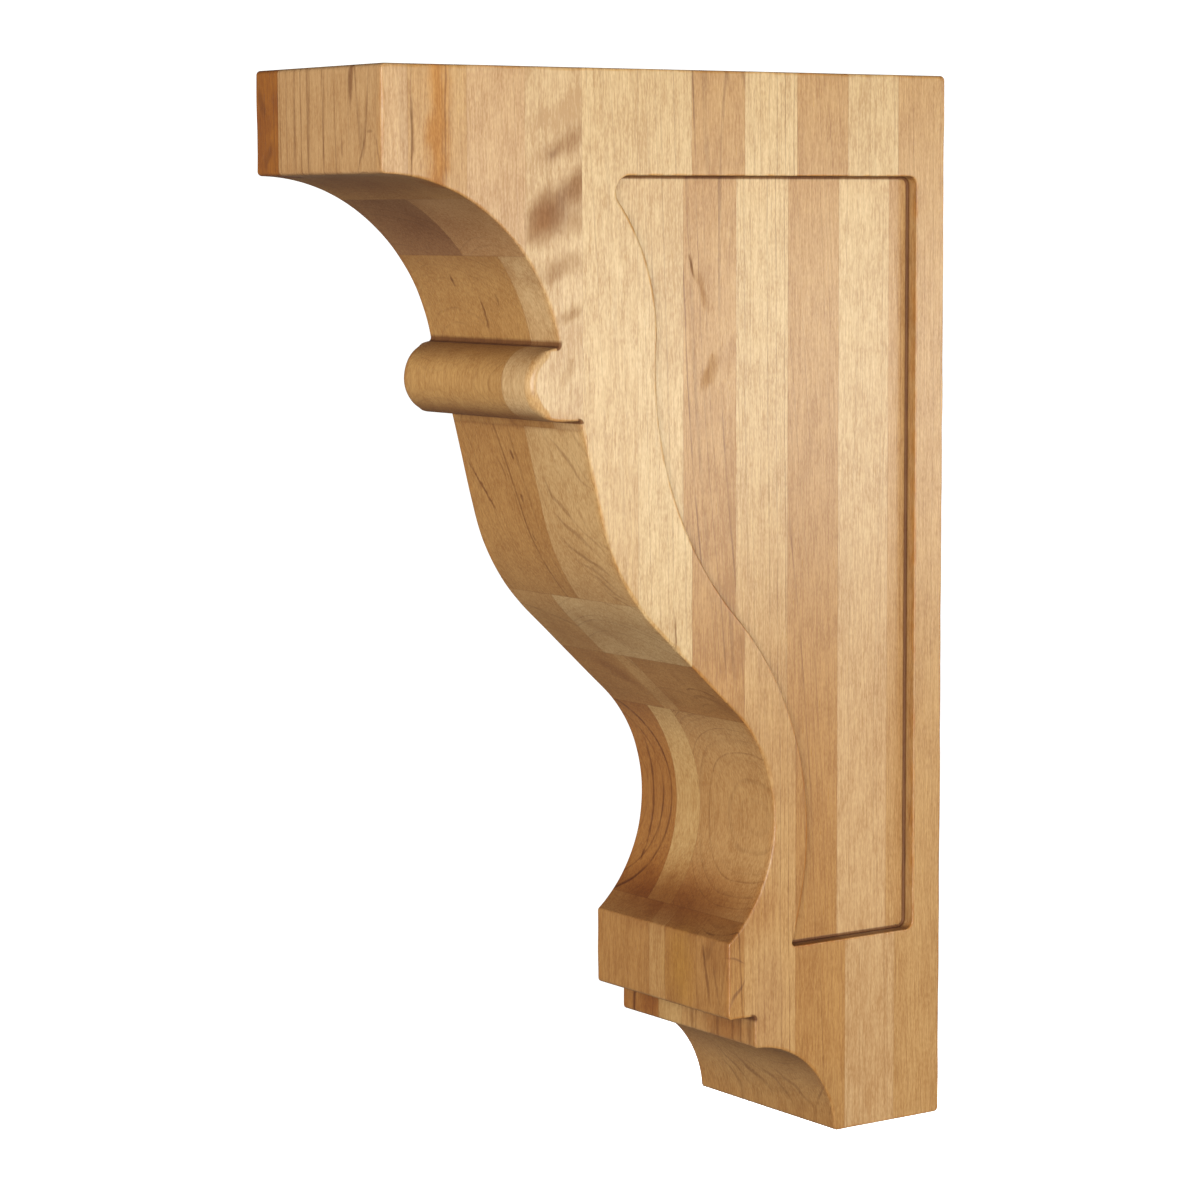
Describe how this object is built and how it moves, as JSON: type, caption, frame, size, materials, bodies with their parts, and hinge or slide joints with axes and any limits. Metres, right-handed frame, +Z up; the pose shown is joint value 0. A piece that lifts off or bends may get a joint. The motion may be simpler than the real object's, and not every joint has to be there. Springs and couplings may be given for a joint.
{
  "type": "wooden corbel bracket",
  "caption": "Carved wooden wall corbel with a cove, bead, S-curved front, stepped foot and sunk side panels, for holding up a shelf or countertop.",
  "frame": {"origin": "middle of the flat back face, on the wall plane", "axes": "+Z up, +Y out of the back into the wall, so the moulded front looks along -Y; +X across the width, to the right as seen from the front"},
  "size_m": [0.0762, 0.2222, 0.3556],
  "materials": {
    "laminated_wood": "sanded smooth with a thin clear satin finish; upright glued staves of pale cream to orange tan"
  },
  "bodies": {
    "root": {"corbel": "laminated_wood"}
  },
  "joints": []
}
